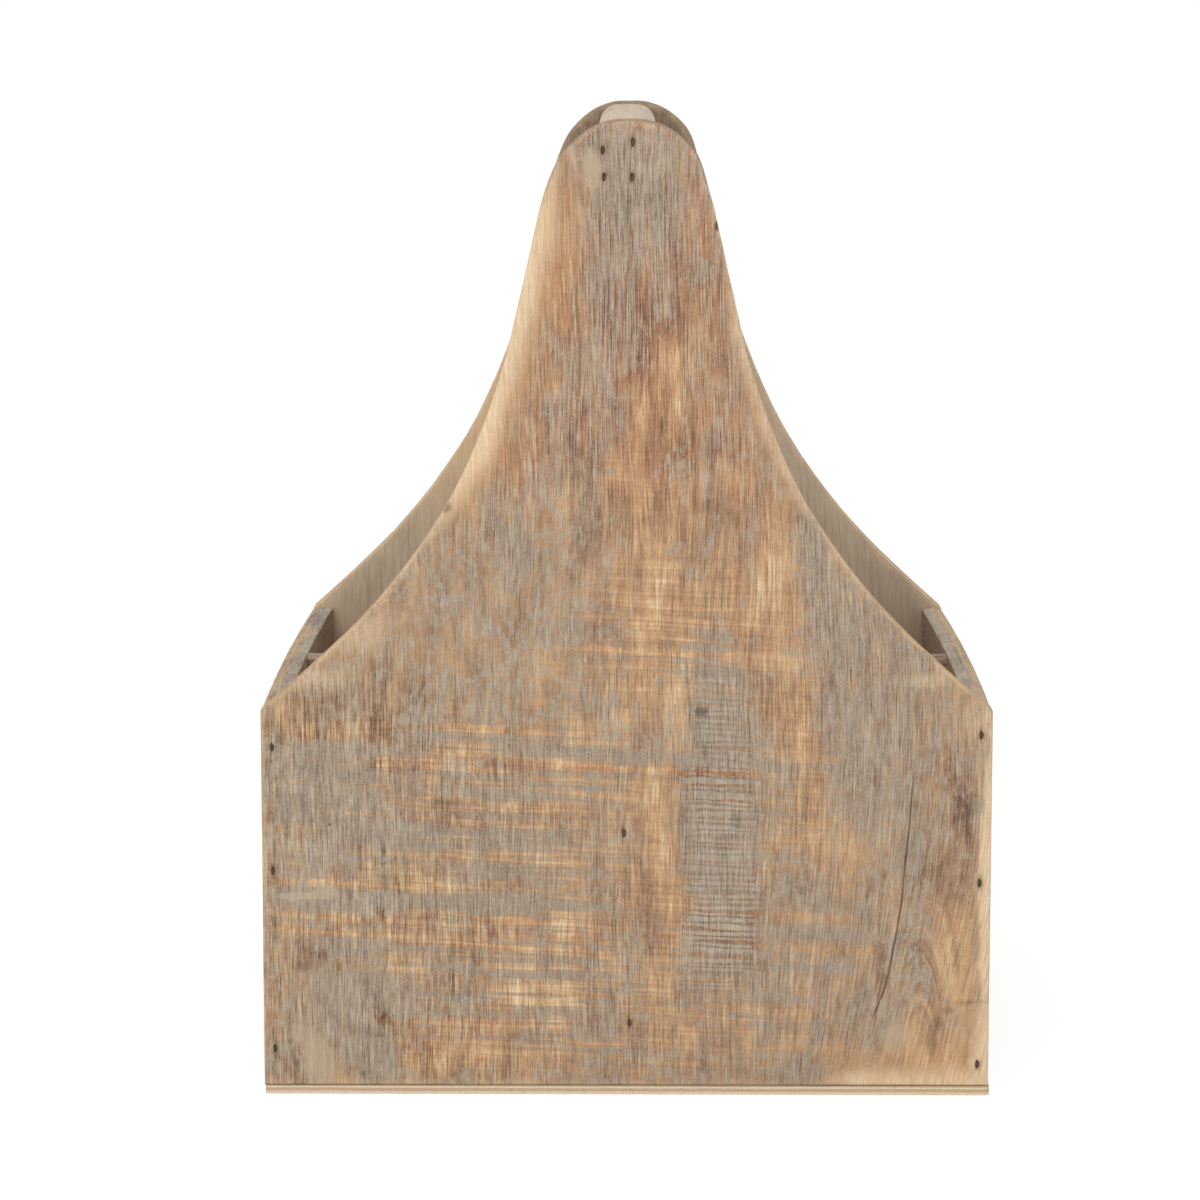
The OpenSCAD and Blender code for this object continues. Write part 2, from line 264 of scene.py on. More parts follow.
def curve_through(points, steps):
    """A smooth curve through points, with some steps for each span."""
    points = np.array(points, float)
    padded = np.vstack([2 * points[0] - points[1], points, 2 * points[-1] - points[-2]])
    share = np.arange(steps)[:, None] / steps
    curve = []
    for before, start, end, after in zip(padded, padded[1:], padded[2:], padded[3:]):
        curve.append(0.5 * (
            2 * start
            + (end - before) * share
            + (2 * before - 5 * start + 4 * end - after) * share ** 2
            + (3 * start - before - 3 * end + after) * share ** 3
        ))
    return np.vstack(curve + [points[-1:]])


def divided(corners, step):
    """A closed outline with points no further apart than step."""
    corners = np.array(corners, float)
    points = []
    for start, end in zip(corners, np.roll(corners, -1, axis=0)):
        count = max(1, math.ceil(np.linalg.norm(end - start) / step))
        points.append(start + (end - start) * (np.arange(count) / count)[:, None])
    return np.vstack(points)


def rectangle(low, high):
    """Its corners, from the lower left one round."""
    return [(low[0], low[1]), (high[0], low[1]), (high[0], high[1]), (low[0], high[1])]


def rounded_rectangle(low, high, radii, steps=6):
    """A rectangle whose corners, from the lower left one round, have these radii."""
    points = []
    for index, ((u, v), radius) in enumerate(zip(rectangle(low, high), radii)):
        middle_u = u + radius if index in (0, 3) else u - radius
        middle_v = v + radius if index in (0, 1) else v - radius
        for turn in np.linspace(math.pi, 1.5 * math.pi, steps + 1) + index * math.pi / 2:
            points.append((middle_u + radius * math.cos(turn), middle_v + radius * math.sin(turn)))
    return points


def outward(outline):
    """For each point of an outline, the step that moves both of its edges out by one."""
    edges = np.roll(outline, -1, axis=0) - outline
    edges /= np.linalg.norm(edges, axis=1)[:, None]
    normals = np.stack([edges[:, 1], -edges[:, 0]], axis=1)
    before = np.roll(normals, 1, axis=0)
    return (normals + before) / (1 + np.sum(normals * before, axis=1))[:, None]


def distance_to(outline, points):
    """How far each point is from the outline."""
    edges = np.roll(outline, -1, axis=0) - outline
    nearest = np.full(len(points), np.inf)
    for start, edge in zip(outline, edges):
        share = np.clip((points - start) @ edge / (edge @ edge), 0, 1)
        nearest = np.minimum(nearest, np.linalg.norm(points - start - share[:, None] * edge, axis=1))
    return nearest


def inside(outline, points):
    """Which points are inside the outline."""
    ends = np.roll(outline, -1, axis=0)
    crossings = np.zeros(len(points), int)
    for start, end in zip(outline, ends):
        between = (start[1] > points[:, 1]) != (end[1] > points[:, 1])
        rise = end[1] - start[1]
        if rise:
            across = start[0] + (points[:, 1] - start[1]) / rise * (end[0] - start[0])
            crossings += between & (points[:, 0] < across)
    return crossings % 2 == 1


# Boards

def face_mesh(outline, step):
    """Points and triangles that fill an outline; its own points come first."""
    ends = zip(outline.min(0), outline.max(0))
    across, along = (np.arange(low + step / 2, high, step) for low, high in ends)
    grid = np.stack(np.meshgrid(across, along), -1).reshape(-1, 2)
    grid = grid[inside(outline, grid)]
    grid = grid[distance_to(outline, grid) > step / 2]
    given = [Vector(point) for point in np.vstack([outline, grid])]
    loop = list(range(len(outline)))
    _, _, faces, sources, _, _ = geometry.delaunay_2d_cdt(given, [], [loop], 1, 1e-5)
    source = [min(where) for where in sources]
    return np.array(given), [[source[corner] for corner in face] for face in faces]


def in_scene(name, data):
    """A new object with this data, in the scene."""
    thing = bpy.data.objects.new(name, data)
    bpy.context.scene.collection.objects.link(thing)
    return thing


def closed_mesh(name, vertices, faces):
    """A mesh whose faces all look outward."""
    mesh = bpy.data.meshes.new(name)
    mesh.from_pydata([tuple(point) for point in vertices], [], faces)
    shape = bmesh.new()
    shape.from_mesh(mesh)
    bmesh.ops.recalc_face_normals(shape, faces=shape.faces)
    shape.to_mesh(mesh)
    shape.free()
    return mesh


def belt(first, count):
    """The faces between two rings of points, one right after the other."""
    turns = [(first + index, first + (index + 1) % count) for index in range(count)]
    return [(near, beside, beside + count, near + count) for near, beside in turns]


def board_levels(low, high, radius, layers, arris_steps=4):
    """For each ring round a board, from its low face to its high one, its points' levels and insets."""
    quarter = np.linspace(0, math.pi / 2, arris_steps + 1)
    near = [(low + radius * (1 - math.cos(turn)), radius * (1 - math.sin(turn))) for turn in quarter]
    far = [(high - radius * (1 - math.cos(turn)), radius * (1 - math.sin(turn))) for turn in quarter[::-1]]
    start, end = near[-1][0], far[0][0]
    shares = np.linspace(0, 1, layers + 1)[1:-1]
    return near + [(start + (end - start) * share, 0 * radius) for share in shares] + far


def board(name, outline, low, high, place, arris, wobble=None, face_step=6, layers=1):
    """A board with this outline from one level to another, whose worn edges are rounded by arris(u, v).

    place(u, v, w) is where a point of the outline is at level w, and wobble(u, v, w) moves it in a little.
    """
    push = outward(outline)
    radius = np.array([arris(u, v) for u, v in outline])
    levels = board_levels(low, high, radius, layers)
    rings = []
    for level, inset in levels:
        if wobble:
            mean = float(np.mean(level))
            inset = inset + np.array([wobble(u, v, mean) for u, v in outline])
        rings.append(outline - push * inset[:, None])
    count = len(outline)
    vertices = []
    for points, (level, _) in zip(rings, levels):
        vertices += [place(u, v, w) for (u, v), w in zip(points, level)]
    last = count * (len(rings) - 1)
    faces = [quad for first in range(0, last, count) for quad in belt(first, count)]
    rims = [0.0] * len(vertices)
    for level, points, first in ((low, rings[0], 0), (high, rings[-1], last)):
        flat, triangles = face_mesh(points, face_step)
        added = flat[count:]
        base = len(vertices) - count
        vertices += [place(u, v, level) for u, v in added]
        rims += list(distance_to(outline, added))
        for triangle in triangles:
            corners = [first + corner if corner < count else base + corner for corner in triangle]
            faces.append(corners[::-1] if level == low else corners)
    mesh = closed_mesh(name, vertices, faces)
    mesh.attributes.new("rim", "FLOAT", "POINT").data.foreach_set("value", rims)
    mesh.shade_smooth()
    mesh.set_sharp_from_angle(angle=math.radians(50))
    return in_scene(name, mesh)


def slot_ring(low, high, axis, level, sides):
    """Points round a ragged pointed oval, a little larger than a nail head, at one level along an axis."""
    across = 1 if axis == 0 else 0
    along = 1 if axis == 2 else 2
    centre = (low + high) / 2
    half_across = (high[across] - low[across]) / 2 + SLOT_SPARE[0]
    half_along = (high[along] - low[along]) / 2 + SLOT_SPARE[1]
    ring = []
    for turn in np.arange(sides) * 2 * math.pi / sides:
        point = np.zeros(3)
        point[across] = centre[across] + half_across * math.cos(turn)
        point[along] = centre[along] + half_along * math.sin(turn) * (0.85 + 0.15 * math.cos(3 * turn))
        point[axis] = level
        ring.append(point * MM)
    return ring


def cut_slots(piece, nails, axis, face, inward, sides=12):
    """Cuts a slot for the head of each nail that goes in along an axis, through the face at one level."""
    vertices = []
    faces = []
    for low, high in nails:
        first = len(vertices)
        for level in (face - inward, face + inward * SLOT_DEPTH):
            vertices += slot_ring(low, high, axis, level, sides)
        faces.append(range(first, first + sides))
        faces.append(range(first + 2 * sides - 1, first + sides - 1, -1))
        faces += belt(first, sides)
    cutter = in_scene("slots", closed_mesh("slots", vertices, faces))
    cut = piece.modifiers.new("slots", "BOOLEAN")
    cut.operation = "DIFFERENCE"
    cut.object = cutter
    with_slots = piece.evaluated_get(bpy.context.evaluated_depsgraph_get())
    mesh = bpy.data.meshes.new_from_object(with_slots)
    piece.modifiers.clear()
    piece.data = mesh
    bpy.data.objects.remove(cutter)


# Materials

def paint(red, green, blue):
    """A colour as it looks, from 0 to 255, as the light that it sends back."""
    parts = [part / 255 for part in (red, green, blue)]
    sent = [part / 12.92 if part < 0.04045 else ((part + 0.055) / 1.055) ** 2.4 for part in parts]
    return (*sent, 1.0)


class Signal:
    """A number, colour, place or shader that runs through nodes, for use in formulas."""

    def __init__(self, nodes, socket):
        self.nodes = nodes
        self.socket = socket

    def __add__(self, other):
        return self.nodes.math("ADD", self, other)

    def __sub__(self, other):
        return self.nodes.math("SUBTRACT", self, other)

    def __rsub__(self, other):
        return self.nodes.math("SUBTRACT", other, self)

    def __mul__(self, other):
        return self.nodes.math("MULTIPLY", self, other)

    def __abs__(self):
        return self.nodes.math("ABSOLUTE", self)

    __radd__ = __add__
    __rmul__ = __mul__


class Nodes:
    """A node tree, with short calls for the nodes that make it up."""

    def __init__(self, tree):
        self.tree = tree

    def add(self, kind, *values, **settings):
        """A new node, whose first inputs are these values or signals."""
        node = self.tree.nodes.new("ShaderNode" + kind)
        for name, value in settings.items():
            setattr(node, name, value)
        for socket, value in zip(node.inputs, values):
            self.feed(socket, value)
        return node

    def feed(self, socket, value):
        if isinstance(value, Signal):
            self.tree.links.new(value.socket, socket)
        else:
            socket.default_value = value

    def fill(self, node, inputs):
        """Gives some inputs of a node their values or signals."""
        for name, value in inputs.items():
            self.feed(node.inputs[name], value)

    def out(self, kind, *values, **settings):
        """The first output of a new node."""
        return Signal(self, self.add(kind, *values, **settings).outputs[0])

    def math(self, operation, *values):
        return self.out("Math", *values, operation=operation)

    def vector(self, operation, *values):
        return self.out("VectorMath", *values, operation=operation)

    def smooth(self, value, start, end, low=0.0, high=1.0):
        """Goes smoothly from low to high as the value goes from start to end."""
        return self.out("MapRange", value, start, end, low, high, interpolation_type="SMOOTHSTEP")


def oval_group():
    """The nodes of one oval mark, added to a total: strong in its middle, gone at its ragged rim."""
    name = "oval mark"
    if name in bpy.data.node_groups:
        return bpy.data.node_groups[name]
    tree = bpy.data.node_groups.new(name, "ShaderNodeTree")
    for socket, kind in (("Place", "Vector"), ("Middle", "Vector"), ("Shares", "Vector"),
                         ("Ragged", "Float"), ("Strength", "Float"), ("Before", "Float")):
        tree.interface.new_socket(socket, in_out="INPUT", socket_type="NodeSocket" + kind)
    tree.interface.new_socket("Total", in_out="OUTPUT", socket_type="NodeSocketFloat")
    n = Nodes(tree)
    given = tree.nodes.new("NodeGroupInput").outputs[:6]
    place, middle, shares, ragged, strength, before = (Signal(n, socket) for socket in given)
    from_middle = n.vector("MULTIPLY", n.vector("SUBTRACT", place, middle), shares)
    out = Signal(n, n.add("VectorMath", from_middle, operation="LENGTH").outputs["Value"])
    total = n.math("MULTIPLY_ADD", n.smooth(out + ragged, *OVAL_FADE), strength, before)
    n.feed(tree.nodes.new("NodeGroupOutput").inputs[0], total)
    return tree


class Finish(Nodes):
    """One procedural material."""

    def __init__(self, name):
        self.material = bpy.data.materials.new(name)
        self.material.use_nodes = True
        super().__init__(self.material.node_tree)
        self.shader = self.tree.nodes["Principled BSDF"]
        here = self.add("TexCoord")
        self.at = self.vector("MULTIPLY", Signal(self, here.outputs["Object"]), (1 / MM,) * 3)
        self.x, self.y, self.z = self.split(self.at)
        self.facing = self.split(Signal(self, here.outputs["Normal"]))

    def split(self, place):
        return [Signal(self, output) for output in self.add("SeparateXYZ", place).outputs]

    def join(self, x, y, z):
        return self.out("CombineXYZ", x, y, z)

    def attribute(self, name):
        return Signal(self, self.add("Attribute", attribute_name=name).outputs["Fac"])

    def noise(self, size, seed, detail=2.0, roughness=0.5, at=None):
        """Noise about 0, mostly from -1 to 1, with grains of this size in millimetres along each axis."""
        shift = (1.7 * seed, 3.1 * seed, 5.3 * seed)
        place = self.vector("MULTIPLY_ADD", at or self.at, tuple(1 / part for part in size), shift)
        node = self.add("TexNoise", place)
        self.fill(node, {"Scale": 1.0, "Detail": detail, "Roughness": roughness})
        return self.math("MULTIPLY_ADD", Signal(self, node.outputs["Fac"]), 5.0, -2.5)

    def ramp(self, value, *colours):
        """A colour from a row of colours as the value goes from 0 to 1."""
        node = self.add("ValToRGB", value)
        stops = node.color_ramp.elements
        while len(stops) < len(colours):
            stops.new(1.0)
        for index, colour in enumerate(colours):
            stops[index].position = index / (len(colours) - 1)
            stops[index].color = paint(*colour)
        return Signal(self, node.outputs[0])

    def mix(self, share, under, over):
        """A share of one colour over another."""
        node = self.add("Mix", share, data_type="RGBA")
        self.fill(node, {6: under, 7: over})
        return Signal(self, node.outputs[2])

    def oval(self, x, z, wide, tall, strength, ragged, total, at=None):
        """Adds to a total a soft oval mark at x, z, seen square to the end boards."""
        parts = (at or self.at, (x, 0.0, z), (1 / wide, 0.0, 1 / tall), ragged, strength, total)
        return self.out("Group", *parts, node_tree=oval_group())

    def bump(self, height, depth):
        """Raises the surface by the height signal times a depth in millimetres."""
        node = self.add("Bump")
        self.fill(node, {"Strength": 1.0, "Distance": depth * MM, "Height": height})
        self.tree.links.new(node.outputs[0], self.shader.inputs["Normal"])

    def finish(self, colour, roughness, shine=0.3):
        self.fill(self.shader, {"Base Color": colour, "Roughness": roughness, "Specular IOR Level": shine})
        return self.material


def near_line(f, points, half_width, wander):
    """1 on a thin upright line through points, given as across and height, and 0 beside it."""
    across, height = np.array(points).T
    middle, reach = (height.max() + height.min()) / 2, (height.max() - height.min()) / 2
    up = (f.z - middle) * (1 / reach)
    place = 0.0
    for part in np.polyfit((height - middle) / reach, across, 4):
        place = up * place + float(part)
    aside = abs(f.x - place + wander)
    on_line = f.smooth(aside, half_width, 0.0)
    return on_line * f.smooth(abs(up), 1.0, 0.75)


def arched_grain(f, arches, foot, seed):
    """Nested arches of grain, about 0, and how strongly they show."""
    figure, share = 0.0, 0.0
    for middle, height, wide, tall, taper, below in arches:
        rise = (f.z - height - foot + below) * taper
        across = f.x - middle
        arch = f.math("SQRT", across * across + rise * rise)
        share = f.oval(middle, height + foot, wide, tall, 1.0, 0.0, share)
        figure = f.noise((0.8, 20, 70), seed + 12, detail=2, at=f.join(arch, f.y, f.z))
    return figure, share


class PanelWood:
    """The noises and the marks of one end board, which the layers of its looks share."""

    def __init__(self, f, low, high, seed, marks):
        thick = high[1] - low[1]
        outermost = max(high[1], -low[1])
        self.f = f
        self.marks = marks
        self.foot = low[2]
        self.up = f.z - self.foot
        self.up_high = f.smooth(self.up, 165, 235)
        self.outer = f.smooth(abs(f.y), outermost - thick / 2, outermost - thick / 4)
        self.left_side = f.smooth(f.x, -25, -60) * f.smooth(self.up, 150, 125) * self.outer
        # Fine noises along the grain
        drift = f.noise((30, 60, 110), seed, detail=1)
        above = self.up - UPRIGHT_HEIGHT
        bend = BEND * above * above * f.smooth(f.x, *BEND_REACH)
        grain = f.join(f.x + 1.2 * drift + bend, f.y, f.z)
        self.fibre = f.noise((0.3, 0.3, 9), seed + 1, detail=1, at=grain)
        self.streak = f.noise((1.3, 1.3, 40), seed + 2, detail=3, roughness=0.65, at=grain)
        self.pores = f.noise((0.5, 0.5, 20), seed + 8, detail=1.5, roughness=0.6, at=grain)
        self.gaps = f.noise((0.45, 0.45, 12), seed + 9, detail=1, at=grain)
        self.fleck = f.smooth(f.noise((0.32, 0.32, 3.2), seed + 16, detail=1, at=grain), 0.35, 1.3)
        self.arch, self.arched = arched_grain(f, marks.arches, self.foot, seed)
        # Noises with little or no grain, from fine to broad
        self.grit = f.noise((0.4, 0.4, 0.5), seed + 10, detail=2, roughness=0.7)
        self.flake = f.noise((3.0, 3.0, 4.5), seed + 3, detail=4, roughness=0.65)
        self.scuff = f.noise((3, 5, 5), seed + 15, detail=4, roughness=0.7)
        self.tone = f.noise((9, 9, 22), seed + 5, detail=3, roughness=0.55)
        self.patch = f.noise((11, 11, 16), seed + 4, detail=4, roughness=0.6)
        smear = f.noise((14, 14, 20), seed + 14, detail=4, roughness=0.65)
        smear = f.smooth(smear + self.spots(WORKED_PLACES, 0.3 * self.patch), 0.0, 0.7)
        self.smear = smear * f.smooth(self.up, 230, 190)
        self.ragged = 0.4 * self.patch + 0.25 * self.flake
        self.add_saw_marks(f, seed, drift)
        self.add_washes(f)
        self.add_relief()

    def spots(self, marks, ragged, total=0.0, at=None):
        """Adds to a total the oval marks, whose heights are above the foot of the board."""
        for across, height, wide, tall, strength in marks:
            total = self.f.oval(across, height + self.foot, wide, tall, strength, ragged, total, at)
        return total

    def add_saw_marks(self, f, seed, drift):
        """Saw marks across the grain, and the close ripple in the hatched strip."""
        self.tilted = f.z + SAW_TILT * f.x
        sawn = f.join(f.x, f.y, self.tilted + 0.3 * drift)
        band = f.noise((45, 45, 3.4), seed + 6, detail=2, at=sawn)
        line = f.noise((26, 26, 0.8), seed + 7, detail=2, roughness=0.6, at=sawn)
        self.ripple = f.math("SINE", self.tilted * (2 * math.pi / RIPPLE) + 3.6 * band + 1.2 * self.patch)
        broken = f.smooth(self.flake + self.patch, -1.2, 0.5, 0.35)
        self.hatch = self.spots(self.marks.hatched, 0.3 * self.ragged) * self.outer * broken
        kerf = self.spots(self.marks.sawn, 0.6 * self.ragged) * self.outer + self.hatch
        self.crossed = f.smooth(kerf, 0.0, 1.2)
        self.saw = kerf * (0.75 * band + 0.5 * line + 0.3 * self.ripple)

    def add_washes(self, f):
        """Where the outer face is greyer, warmer or browner, and the dark gaps in its grain."""
        marks = self.marks
        along_saw = f.join(f.x, 0.0, self.tilted + 0.5 * self.patch)
        greys = self.spots(marks.greys, self.ragged)
        warms = self.spots(marks.warms, self.ragged)
        self.grey_wash = self.spots(marks.grey_bands, self.ragged, greys, along_saw) * self.outer
        self.warm_wash = self.spots(marks.warm_bands, self.ragged, warms, along_saw) * self.outer
        self.brown_wash = self.spots(marks.browns, self.ragged) * self.outer
        gap = self.gaps + 0.3 * self.patch + 0.2 * self.grey_wash
        self.dark_gap = f.smooth(gap, 0.65, 1.25) * self.outer

    def add_relief(self):
        """Heights: sanded ridges are high, pores and saw marks low."""
        grain = (0.17 * self.fibre + 0.14 * self.streak) * (1.0 - 0.45 * self.smear + 0.5 * self.left_side)
        self.upright_grain = grain
        relief = grain * (1.0 - 0.6 * self.arched) + 0.14 * self.saw + 0.1 * self.grit
        self.relief = relief + 0.26 * self.arch * self.arched + 0.08 * self.left_side * self.flake


def bare_wood(f, w):
    """The wood itself, from brown hollows to pale sanded ridges, redder high up and where it was sawn."""
    tint = 0.53 + w.relief + 0.17 * w.tone + 0.08 * w.flake
    tint = tint + 0.08 * w.warm_wash - 0.17 * w.brown_wash - 0.24 * w.hatch
    tint = tint - 0.09 * w.up_high - 0.05 * f.smooth(w.up, 270, 300)
    russet = f.math("MAXIMUM", 0.8 * w.up_high, 0.35 * w.crossed) + 0.25 * w.tone + 0.5 * w.warm_wash
    return f.mix(f.smooth(russet, 0.0, 1.0), f.ramp(tint, *TAN), f.ramp(tint, *RUSSET))


def grey_left(f, w):
    """How much grey the sanding left in pores, saw marks and hollows."""
    lines = w.pores * (0.6 + 0.35 * w.up_high) * (1.0 - 0.6 * w.arched) * (1.0 - 0.6 * w.smear)
    spread = (0.55 - 0.35 * w.up_high + 0.2 * w.smear) * w.flake + (0.5 - 0.2 * w.up_high) * w.patch
    left = (lines + spread) * (1.0 - 0.45 * w.crossed) - 0.7 * w.saw + 0.15 * w.grit
    left = left + w.hatch * (0.25 - 0.4 * w.ripple)
    left = left + 0.6 * w.grey_wash - 0.7 * w.warm_wash - 0.3 * w.brown_wash + 0.03
    return f.smooth(left, -0.2 + 0.12 * w.up_high, 0.38 - 0.16 * w.up_high)


def grey_wood(f, w):
    """The grey itself, with pale lines along the grain."""
    pale_line = f.smooth(w.pores, 0.3, 0.85) * (0.6 + 0.4 * f.math("MAXIMUM", w.hatch, w.up_high))
    tone = 0.42 + 0.17 * w.fibre + 0.1 * w.flake + 0.16 * w.grit + 0.22 * pale_line + 0.05 * w.up_high
    tone = tone + w.hatch * (0.06 - 0.14 * w.ripple)
    tone = tone + 0.12 * w.left_side * f.smooth(w.patch, -0.2, 1.0)
    return f.ramp(tone, *GREY)


def outer_face(f, w):
    """Bare wood and grey, with fine dark flecks and gaps."""
    grey = grey_left(f, w)
    colour = f.mix(0.82 * grey, bare_wood(f, w), grey_wood(f, w))
    colour = f.mix(0.32 * w.fleck * (1.0 - 0.4 * grey), colour, paint(104, 76, 58))
    return f.mix(0.55 * w.dark_gap, colour, paint(92, 68, 54))


def inner_face(f, w):
    """Smoother, greyer wood with painted light high up at both sides, painted shade low at the right and in
    the cells, and mottled painted shade at the crown.
    """
    # Painted light: the upper left lighter and warmer
    painted_light_upper_left = f.smooth(f.x, -15, -60) * f.smooth(f.z, 150, 205)
    # Painted light: the upper right lighter
    painted_light_upper_right = f.smooth(f.x, 15, 60) * f.smooth(f.z, 150, 200)
    # Painted shade: the lower right darker
    painted_shade_lower_right = f.smooth(f.x, 50, 95) * f.smooth(f.z, 165, 120)
    # Painted shade: darker low down, inside the cells
    painted_shade_in_cells = f.smooth(f.z + 4 * w.patch, 128, 90)
    # Painted shade, broken into mottles: darker at the crown, beside the bar
    crown = f.smooth(w.up + 4 * w.flake, 284, 304)
    colour = f.ramp(0.5 + 1.1 * w.upright_grain + 0.1 * w.tone, *INNER_FACE)
    colour = f.mix(0.6 * painted_light_upper_left, colour, paint(238, 198, 150))
    colour = f.mix(0.35 * painted_light_upper_right, colour, paint(222, 200, 168))
    colour = f.mix(0.45 * painted_shade_lower_right, colour, paint(140, 122, 106))
    colour = f.mix(0.5 * painted_shade_in_cells, colour, paint(110, 92, 76))
    return f.mix(0.8 * crown, colour, f.ramp(0.45 + 0.35 * w.flake + 0.15 * w.streak, *MOTTLED_PAINTED_SHADE))


def pale_edges(f, w, colour):
    """Adds the pale sapwood and the sanding along the edges of a face."""
    rim = f.attribute("rim")
    upper_left = f.smooth(f.x, 0, -10) * f.smooth(w.up, 175, 208) * f.smooth(w.up, 312, 280)
    upper_right = 0.4 * f.smooth(f.x, 0, 10) * f.smooth(w.up, 185, 205) * f.smooth(w.up, 270, 250)
    lower_right = f.smooth(f.x, 60, 80) * (0.4 * f.smooth(w.up, 95, 60) + 0.4 * f.smooth(w.up, 34, 12))
    place = (upper_left + upper_right + lower_right) * w.outer
    warm = place * f.smooth(rim + 2 * w.patch, 18, 6)
    colour = f.mix(0.5 * warm, colour, f.ramp(0.5 + w.relief, *WARM_RIM))
    width = 1.2 + 7 * place
    pale = f.smooth(rim + 1.0 * w.streak + 0.8 * w.fibre + 1.2 * w.patch, 1.25 * width, 0.1 * width)
    pale = pale * (0.25 + 0.75 * place)
    rubbed = w.spots(w.marks.rubbed, 0.6 * w.streak + w.ragged) * w.outer
    return f.mix(0.9 * f.math("MAXIMUM", pale, rubbed), colour, f.ramp(0.7 + w.relief, *SAPWOOD))


def sanded_side(f, w):
    """The sawn and sanded sides of an end board, greyed over the crown and scuffed."""
    colour = f.ramp(0.45 + 0.9 * w.relief + 0.15 * w.tone, *SANDED_SIDE)
    colour = f.mix(0.7 * f.smooth(w.up, 296, 312), colour, f.ramp(0.5 + w.relief, *GREYED_SIDE))
    return f.mix(0.3 * f.smooth(w.scuff, 0.3, 1.1), colour, paint(112, 88, 68))


def worn_arris_and_highlight(f, w, square, colour):
    """Adds the light line between a face and a side, partly worn wood and partly a painted highlight; square
    is how far a place faces front or back.
    """
    # The pale line on the rounded edges: worn wood and a painted highlight, browner at the crown
    line = f.smooth(square, 0.99, 0.9) * f.smooth(square, 0.1, 0.4) * f.smooth(w.tone + w.fibre, -0.6, 0.6)
    wear_and_highlight_colour = f.mix(f.smooth(w.up, 285, 305), paint(222, 192, 150), paint(140, 120, 100))
    return f.mix(0.75 * line, colour, wear_and_highlight_colour)


def crack_lines(f, w):
    """How dark the cracks make a place."""
    wander = 0.15 * w.fibre + 0.4 * w.patch
    dark = 0.0
    for line, half_width, strength in w.marks.cracks:
        points = [(across, height + w.foot) for across, height in line]
        dark = near_line(f, points, half_width, wander) * strength + dark
    return dark


def stains(f, w, on_side, nails, dark):
    """Adds to the cracks the knots, the stains round the nails and the line along the foot."""
    dark = w.spots(w.marks.knots, w.ragged, dark) * (1.0 - 0.6 * on_side)
    fray = 0.6 * w.ragged + 0.3 * w.fibre
    for low, high in nails:
        across, _, height = (float(middle) for middle in (low + high) / 2)
        dark = f.oval(across, height, *NAIL_STAIN, fray, dark)
    dark = dark + 0.5 * f.smooth(w.up, 1.3, 0.2)
    return f.smooth(dark, 0.0, 1.2)


def reclaimed_panel(name, low, high, seed, nails, marks):
    """Old sawn wood, sanded by hand: grain upright, saw marks across it, grey left in pores and hollows."""
    f = Finish(name)
    w = PanelWood(f, low, high, seed, marks)
    square = abs(f.facing[1])
    on_side = f.smooth(square, 0.6, 0.2)
    colour = f.mix(0.9 * f.smooth(w.outer, 1.0, 0.0), outer_face(f, w), inner_face(f, w))
    filled = f.smooth(w.spots(marks.filled, 1.6 * w.ragged + 0.25 * w.fibre), 0.25, 0.75)
    colour = f.mix(0.75 * filled, colour, f.ramp(0.5 + 0.2 * w.streak, *FILLER))
    colour = pale_edges(f, w, colour)
    colour = f.mix(on_side, colour, sanded_side(f, w))
    colour = worn_arris_and_highlight(f, w, square, colour)
    cracks = crack_lines(f, w)
    colour = f.mix(stains(f, w, on_side, nails, cracks), colour, paint(66, 46, 36))
    f.bump(w.relief - 0.15 * w.dark_gap - 0.6 * cracks, 0.35)
    return f.finish(colour, f.smooth(w.relief, -0.3, 0.4, 0.88, 0.68), 0.25)


class SawnWood:
    """The noises of one sawn board, its grain along one axis; wear is how strongly its saw marks show."""

    def __init__(self, f, seed, axis, wear):
        def grains(wide, long, number, detail, roughness=0.5, at=None):
            size = tuple(long if index == axis else wide for index in range(3))
            return f.noise(size, seed + number, detail, roughness, at)

        drift = grains(40, 130, 0, 1)
        aside = f.join(*(0.0 if index == axis else 1.5 * drift for index in range(3)))
        along = f.vector("ADD", f.at, aside)
        self.fibre = grains(0.35, 10, 1, 1.5, at=along)
        self.pores = grains(0.55, 22, 2, 2, 0.6, along)
        self.streak = grains(1.5, 60, 3, 3, 0.65, along)
        self.ring = grains(9, 90, 4, 2, at=along)
        self.flake = grains(3, 9, 5, 4, 0.65)
        self.patch = grains(16, 34, 7, 4, 0.6)
        saw = grains(45, 1.3, 6, 2, 0.6)
        self.saw = wear * saw * f.smooth(self.patch + 0.6 * self.ring, -0.3, 0.8)
        gap = grains(0.5, 14, 9, 1, at=along)
        self.gap = f.smooth(gap + 0.3 * self.patch, 0.75, 1.3)
        self.relief = 0.17 * self.fibre + 0.17 * self.streak + 0.15 * self.saw


def greyed(f, w, colour, share):
    """Adds the grey left in a board's pores; a higher share leaves more."""
    left = 0.9 * w.pores + 0.2 * w.flake + 0.35 * w.patch + 0.25 * w.ring - 0.6 * w.saw + share
    tone = 0.42 + 0.17 * w.fibre + 0.06 * w.flake + 0.22 * f.smooth(w.pores, 0.3, 0.9)
    return f.mix(0.82 * f.smooth(left, -0.1, 0.4), colour, f.ramp(tone, *GREY))


def side_faces(f, w, colour, inner):
    """Adds a side board's inner face, darkened by painted shade, and its light top edge, rubbed along the
    outer side.
    """
    out = abs(f.x)
    # Painted shade: the inner face darker
    colour = f.mix(0.45 * f.smooth(out, inner + 2.0, inner + 0.5), colour, paint(104, 86, 70))
    top = f.ramp(0.5 + 1.2 * w.relief + 0.25 * w.patch + 0.12 * w.flake, *SIDE_TOP)
    rubbed = f.smooth(out + 2.2 * w.patch + 0.8 * w.streak, inner + 4.1, inner + 5.9)
    top = f.mix(0.75 * rubbed, top, f.ramp(0.5 + w.relief, *RUBBED_TOP))
    return f.mix(0.85 * f.smooth(f.facing[2], 0.55, 0.85), colour, top)


